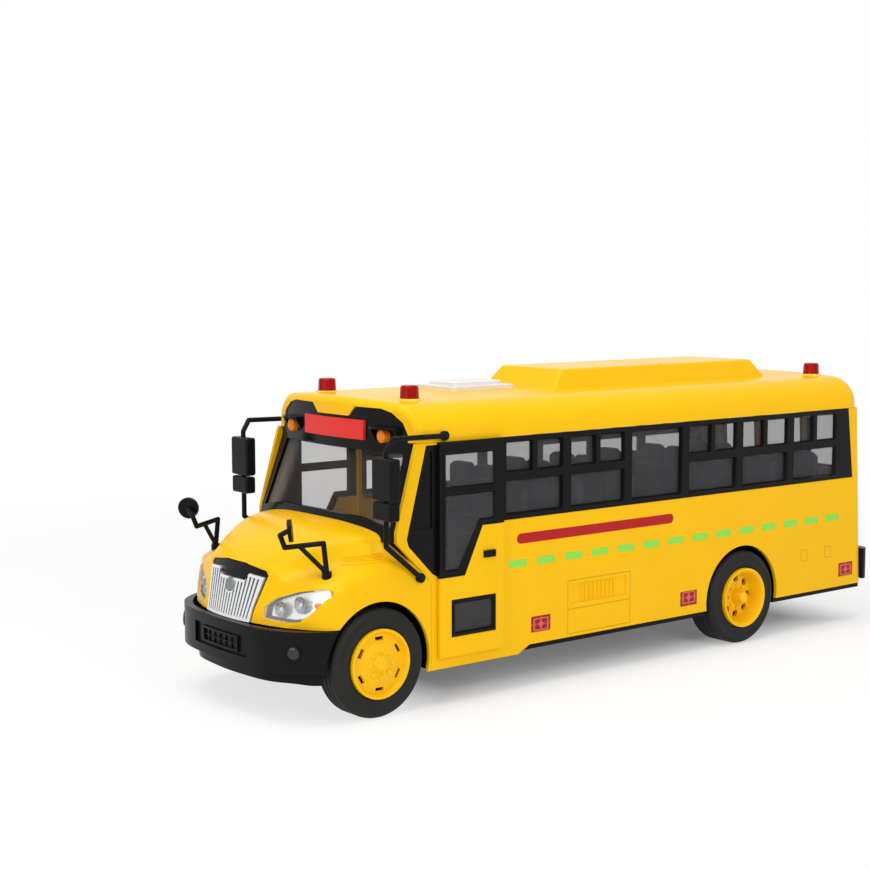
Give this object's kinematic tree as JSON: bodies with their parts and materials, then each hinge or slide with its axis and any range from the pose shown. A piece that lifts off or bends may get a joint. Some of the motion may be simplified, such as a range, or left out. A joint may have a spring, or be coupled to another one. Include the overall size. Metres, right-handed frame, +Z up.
{
  "type": "toy school bus",
  "caption": "Plastic push-along toy school bus with a bonnet, spinning wheels, sliding entrance doors, mirrors on arms and a raised roof pod.",
  "frame": {"origin": "on the floor, under the middle of the overall box", "axes": "+X towards the front bumper, +Y the bus's left side, +Z up"},
  "size_m": [0.34, 0.1156, 0.1284],
  "materials": {
    "yellow_plastic": "moulded gloss",
    "black_plastic": "satin moulded",
    "grey_plastic": "moulded matt",
    "red_plastic": "moulded gloss",
    "red_lens": "clear red",
    "amber_lens": "clear amber",
    "white_plastic": "moulded gloss",
    "smoked_glass": "smoked clear plastic",
    "clear_lens": "clear plastic",
    "chrome_plating": "plated plastic",
    "tyre_rubber": "matt",
    "steel_rod": "drawn rod"
  },
  "bodies": {
    "bus": {"body_shell": "yellow_plastic", "roof": "yellow_plastic", "bonnet": "yellow_plastic", "base_plate": "black_plastic", "friction_drive": "grey_plastic", "front_bumper": "black_plastic", "rear_bumper": "black_plastic", "grille_surround": "black_plastic", "grille": "chrome_plating", "screen_mask": "black_plastic", "screen_glass": "smoked_glass", "header_panel": "red_plastic", "header_lamps": "amber_lens", "roof_pod": "yellow_plastic", "roof_hatch": "white_plastic", "beacons": "red_lens", "side_reflectors": "red_lens", "tail_lamps": "red_lens", "rear_window_frame": "black_plastic", "rear_glass": "smoked_glass", "dashboard": "grey_plastic", "seat_deck": "grey_plastic", "headlamp_left": "clear_lens", "headlamp_right": "clear_lens", "side_mirror_left": "black_plastic", "side_mirror_right": "black_plastic", "bonnet_mirror_left": "black_plastic", "bonnet_mirror_right": "black_plastic", "window_band_left": "black_plastic", "window_band_right": "black_plastic", "window_glass_left": "smoked_glass", "window_glass_right": "smoked_glass", "quarter_window_left": "black_plastic", "quarter_window_right": "black_plastic"},
    "front_axle_set": {"front_axle": "steel_rod", "front_rim_left": "yellow_plastic", "front_rim_right": "yellow_plastic", "front_tyre_left": "tyre_rubber", "front_tyre_right": "tyre_rubber"},
    "rear_axle_set": {"rear_axle": "steel_rod", "rear_rim_left": "yellow_plastic", "rear_rim_right": "yellow_plastic", "rear_tyre_left": "tyre_rubber", "rear_tyre_right": "tyre_rubber"},
    "door_left": {"door_panel_left": "yellow_plastic", "door_frame_left": "black_plastic", "door_glass_left": "smoked_glass"},
    "door_right": {"door_panel_right": "yellow_plastic", "door_frame_right": "black_plastic", "door_glass_right": "smoked_glass"}
  },
  "joints": [
    {"name": "front_axle_spin", "type": "hinge", "parent": "bus", "child": "front_axle_set", "pos_m": [0.128, 0, 0.0214], "axis": [0, 1, 0], "continuous": true},
    {"name": "rear_axle_spin", "type": "hinge", "parent": "bus", "child": "rear_axle_set", "pos_m": [-0.078, 0, 0.0214], "axis": [0, 1, 0], "continuous": true},
    {"name": "left_door_slide", "type": "slide", "parent": "bus", "child": "door_left", "axis": [-1, 0, 0], "range_m": [0, 0.0195]},
    {"name": "right_door_slide", "type": "slide", "parent": "bus", "child": "door_right", "axis": [-1, 0, 0], "range_m": [0, 0.0195]}
  ]
}
